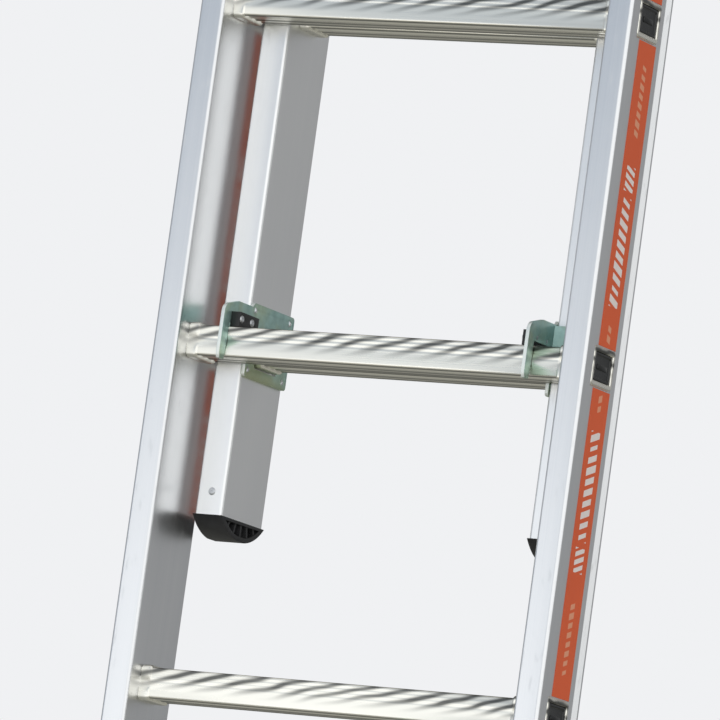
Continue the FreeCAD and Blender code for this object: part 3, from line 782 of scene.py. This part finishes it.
def rivet_shape(grip):
    """Blind rivet: a dimpled dome, and a shank of the grip length with a formed tail."""
    head, height, shank = RIVET_HEAD, RIVET_HEIGHT, RIVET_SHANK
    profile = [
        (0.0, -grip - 0.25 * MM), (0.7 * shank, -grip - 0.2 * MM), (shank, -grip),
        (shank, -0.1 * MM), (0.96 * head, -0.1 * MM), (head, 0.0), (0.97 * head, 0.28 * height),
        (0.84 * head, 0.62 * height), (0.62 * head, 0.88 * height), (0.36 * head, height),
        (0.29 * head, 0.92 * height), (0.25 * head, 0.5 * height), (0.0, 0.5 * height),
    ]
    bm = bmesh.new()
    lathe(bm, profile, 24)
    return mesh_from(bm, "rivet_shape")


def build_plugs(section, side_name):
    side = SIDES[side_name]
    node = f"{section}_{side_name}_rung_plugs"
    low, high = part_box(f"{section}_{side_name}_stile")
    face = max((low.x, high.x), key=abs) - side * RECESS
    turn = (0.0, 0.0, 0.0 if side > 0 else math.pi)
    places = []
    for number in RUNGS:
        centre = rung_centre(section, number)
        places.append(((face, centre.y, centre.z), turn))
    mesh = scatter(node, plug_shape(), places, FINISHES["plug"])
    return new_piece(
        f"{node}_set", mesh, FINISHES["plug"], f"{section}_section", [node]
    )


TURNS = {
    "right": (0.0, math.pi / 2, 0.0),
    "left": (0.0, -math.pi / 2, 0.0),
    "front": (math.pi / 2, 0.0, 0.0),
}


def solids_of(node):
    """Low and high corners of each separate solid in a CAD node."""
    bm = bmesh.new()
    bm.from_mesh(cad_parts[node].data)
    bmesh.ops.remove_doubles(bm, verts=bm.verts, dist=MERGE)
    left = set(bm.verts)
    boxes = []
    while left:
        queue = [left.pop()]
        found = list(queue)
        while queue:
            vert = queue.pop()
            for edge in vert.link_edges:
                other = edge.other_vert(vert)
                if other in left:
                    left.remove(other)
                    queue.append(other)
                    found.append(other)
        low = Vector(min(v.co[i] for v in found) for i in range(3))
        high = Vector(max(v.co[i] for v in found) for i in range(3))
        boxes.append((low, high))
    bm.free()
    return sorted(boxes, key=lambda b: tuple(b[0]))


def build_rivets(node, body):
    """Rivets where the CAD has theirs, heads towards the climber or between the stiles."""
    places = []
    for low, high in solids_of(node):
        middle = (low + high) / 2
        size = high - low
        if size.y > size.x:
            grip = size.y - RIVET_HEIGHT
            places.append(((middle.x, low.y + RIVET_HEIGHT, middle.z), TURNS["front"]))
        elif middle.x > 0:
            grip = size.x - RIVET_HEIGHT
            places.append(((low.x + RIVET_HEIGHT, middle.y, middle.z), TURNS["left"]))
        else:
            grip = size.x - RIVET_HEIGHT
            places.append(((high.x - RIVET_HEIGHT, middle.y, middle.z), TURNS["right"]))
    mesh = scatter(node, rivet_shape(grip), places, FINISHES["rivet"])
    return new_piece(f"{node}_set", mesh, FINISHES["rivet"], body, [node])


# --- assembly ----------------------------------------------------------------------

for section in SECTIONS:
    body = f"{section}_section"
    for side_name in SIDES:
        build_stile(section, side_name)
        build_plugs(section, side_name)
        eased(f"{section}_{side_name}_foot", FINISHES["shoe"], 0.5 * MM, body)
        eased(f"{section}_{side_name}_top_cap", FINISHES["cap"], 0.9 * MM, body, 3)
        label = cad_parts[f"{section}_{side_name}_label"]
        label.data.materials.clear()
        label.data.materials.append(FINISHES["label"])
    for number in RUNGS:
        build_rung(section, number)
for side_name in SIDES:
    for node, finish, ease, body, slot in (
        ("hook", "zinc", 0.4 * MM, "upper_section", "hook_steel"),
        ("hook_seat_block", "nylon", 0.6 * MM, "upper_section", "seat_nylon"),
        ("guide_bracket", "zinc", 0.4 * MM, "lower_section", "guide_steel"),
    ):
        eased(f"{side_name}_{node}", FINISHES[finish], ease, body)
for node, body in (
    ("lower_foot_rivets", "lower_section"),
    ("guide_rivets", "lower_section"),
    ("upper_foot_rivets", "upper_section"),
    ("hook_rivets", "upper_section"),
    ("seat_block_rivets", "upper_section"),
):
    build_rivets(node, body)


# --- floor, light and camera -------------------------------------------------------


def build_floor(radius=1.3):
    bm = bmesh.new()
    bmesh.ops.create_circle(bm, cap_ends=True, radius=radius, segments=96)
    mesh = bpy.data.meshes.new("floor")
    bm.to_mesh(mesh)
    bm.free()
    floor = bpy.data.objects.new("floor", mesh)
    bpy.context.scene.collection.objects.link(floor)
    floor.location.z = cad_box[0].z - 0.2 * MM
    floor.visible_glossy = False
    f = Finish("pale_floor", Roughness=0.7)
    f.shape(Base_Color=f.mix(f.noise(3.0, 2.0), (0.82, 0.825, 0.84), (0.86, 0.865, 0.88)))
    mesh.materials.append(f.material)


def light_panel(name, place, aim, width, height, power, colour):
    data = bpy.data.lights.new(name, "AREA")
    data.shape = "RECTANGLE"
    data.size, data.size_y = width, height
    data.energy = power
    data.color = colour
    lamp = bpy.data.objects.new(name, data)
    bpy.context.scene.collection.objects.link(lamp)
    lamp.location = place
    lamp.rotation_euler = (Vector(aim) - Vector(place)).to_track_quat("-Z", "Y").to_euler()
    lamp.visible_camera = False


def build_world():
    """A flat pale backdrop for the eye, and a studio that the metal reflects."""
    world = bpy.data.worlds.new("studio")
    bpy.context.scene.world = world
    world.use_nodes = True
    world.node_tree.nodes.clear()
    w = Nodes(world.node_tree)
    x, y, z = w.axes(w.node("ShaderNodeTexCoord").outputs["Generated"])
    softbox = (0.86 * x - 0.50 * y + 0.10 * z).step(0.25, 0.75)
    front = (y * -1.0).step(-0.30, 0.80)
    overhead = z.step(0.25, 0.85)
    behind = y.step(-0.20, 0.45)
    below = (z + 0.35 * front).step(0.05, -0.15)
    tone = w.mix(front, STUDIO_BACK, STUDIO_FRONT)
    tone = w.mix(softbox, tone, STUDIO_SOFTBOX)
    tone = w.mix(overhead * (1.0 - behind), tone, STUDIO_OVERHEAD)
    tone = w.mix(overhead * behind, tone, STUDIO_DARK)
    tone = w.mix(below, tone, STUDIO_DARK)
    tone = w.mix(z.step(-0.16, -0.42), tone, STUDIO_GROUND)
    studio = w.node("ShaderNodeBackground", Color=tone)
    flat = w.node("ShaderNodeBackground", Color=BACKDROP)
    eye = w.node("ShaderNodeLightPath").outputs["Is Camera Ray"]
    chosen = w.node("ShaderNodeMixShader", _0=eye, _1=studio.outputs[0], _2=flat.outputs[0])
    w.node("ShaderNodeOutputWorld", Surface=chosen.outputs[0])


BACKDROP = (0.871, 0.880, 0.896)
STUDIO_FRONT = (0.46, 0.52, 0.60)
STUDIO_BACK = (0.33, 0.335, 0.34)
STUDIO_SOFTBOX = (1.20, 1.21, 1.21)
STUDIO_GROUND = (0.34, 0.34, 0.31)
STUDIO_OVERHEAD = (0.75, 0.76, 0.78)
STUDIO_DARK = (0.11, 0.11, 0.10)


def build_camera():
    """Long lens, low and to the right, rolled so that the ladder leans as it is used."""
    data = bpy.data.cameras.new("camera")
    data.sensor_width = 36.0
    data.lens = 429.65
    data.clip_start, data.clip_end = 0.1, 200.0
    camera = bpy.data.objects.new("camera", data)
    bpy.context.scene.collection.objects.link(camera)
    place = Vector((3.2411, -6.0034, -0.2039))
    turn, tilt, roll = math.radians(28.647), math.radians(7.640), math.radians(7.827)
    ahead = Vector((
        -math.sin(turn) * math.cos(tilt), math.cos(turn) * math.cos(tilt), math.sin(tilt)
    ))
    level = ahead.cross(Vector((0, 0, 1))).normalized()
    upright = level.cross(ahead)
    right = level * math.cos(roll) + upright * math.sin(roll)
    up = right.cross(ahead)
    axes = Matrix((right, up, -ahead)).transposed().to_4x4()
    camera.matrix_world = Matrix.Translation(place) @ axes
    bpy.context.scene.camera = camera


build_floor()
build_world()
light_panel(
    "low_front_panel", (-1.25, -2.2, 0.32), (0.0, 0.0, 0.32), 2.0, 1.45, 7.0, (1.0, 0.95, 0.88)
)
build_camera()
bpy.context.scene.view_settings.view_transform = "Standard"
